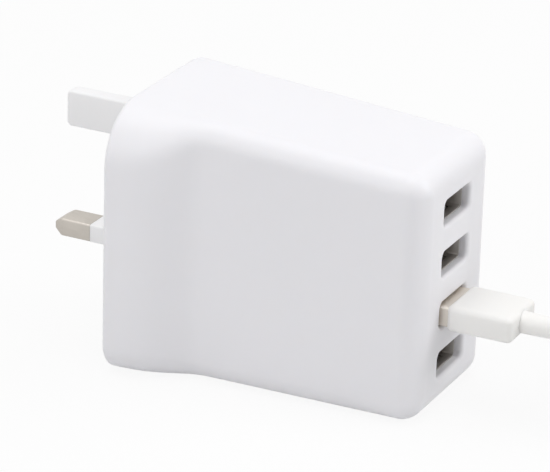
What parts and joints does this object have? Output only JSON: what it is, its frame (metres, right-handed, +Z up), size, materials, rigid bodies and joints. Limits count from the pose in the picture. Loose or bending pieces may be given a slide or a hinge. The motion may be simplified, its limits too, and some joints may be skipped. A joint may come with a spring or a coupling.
{
  "type": "multi port usb charger",
  "caption": "White wall charger with flat mains pins on a flared rear flange, a column of USB-A ports on its narrow front, and a charging lead in one port.",
  "frame": {"origin": "centre of the flat underside, midway between the port face and the wall face", "axes": "+Z up, +Y towards the mains pins, -Y towards the ports, +X to the right when the ports are seen from the front"},
  "size_m": [0.0757, 0.1692, 0.0593],
  "materials": {
    "shell_plastic": "smooth, slightly glossy white",
    "cover_plastic": "fine satin white",
    "pin_plastic": "satin white",
    "pin_metal": "nickel plated, brushed",
    "contact_metal": "bright",
    "board_laminate": "satin green",
    "insulating_paper": "matte",
    "brown_ceramic": "satin",
    "ferrite": "matte",
    "copper_wire": "enamelled",
    "yellow_plastic": "satin",
    "black_plastic": "satin",
    "blue_ceramic": "satin",
    "capacitor_can": "satin",
    "dark_can": "satin sleeve",
    "sink_metal": "brushed",
    "port_metal": "satin",
    "plug_metal": "satin",
    "white_core": "satin",
    "lead_plastic": "soft satin white",
    "tie_fabric": "woven"
  },
  "bodies": {
    "root": {"main_shell": "shell_plastic", "rear_cover": "cover_plastic", "earth_pin": "pin_plastic", "live_pin": "pin_metal", "neutral_pin": "pin_metal", "live_sleeve": "pin_plastic", "neutral_sleeve": "pin_plastic", "live_contact": "contact_metal", "neutral_contact": "contact_metal", "main_board": "board_laminate", "insulating_sheet": "insulating_paper", "mains_fuse": "brown_ceramic", "line_choke_core": "ferrite", "line_choke_winding": "copper_wire", "mains_capacitor": "yellow_plastic", "bridge_rectifier": "black_plastic", "bulk_capacitors": "dark_can", "switching_transistor": "black_plastic", "heat_sink": "sink_metal", "transformer_core": "ferrite", "transformer_bobbin": "black_plastic", "transformer_winding": "yellow_plastic", "safety_capacitor": "blue_ceramic", "optocoupler": "black_plastic", "rectifier_chip": "black_plastic", "output_capacitors": "capacitor_can", "port_board": "board_laminate", "port_controller": "black_plastic", "port_capacitors": "capacitor_can", "board_link_pins": "contact_metal", "port_shell_1": "port_metal", "port_shell_2": "port_metal", "port_shell_3": "port_metal", "port_shell_4": "port_metal", "port_tongue_1": "black_plastic", "port_tongue_2": "black_plastic", "port_tongue_3": "black_plastic", "port_tongue_4": "black_plastic", "port_contacts": "contact_metal", "plug_shell": "plug_metal", "plug_core": "white_core", "plug_contacts": "contact_metal", "plug_overmould": "lead_plastic", "lead_cable": "lead_plastic", "lead_coil": "lead_plastic", "coil_tie": "tie_fabric", "lead_tail": "lead_plastic", "end_overmould": "lead_plastic", "end_shell": "plug_metal", "end_tongue": "black_plastic"}
  },
  "joints": []
}
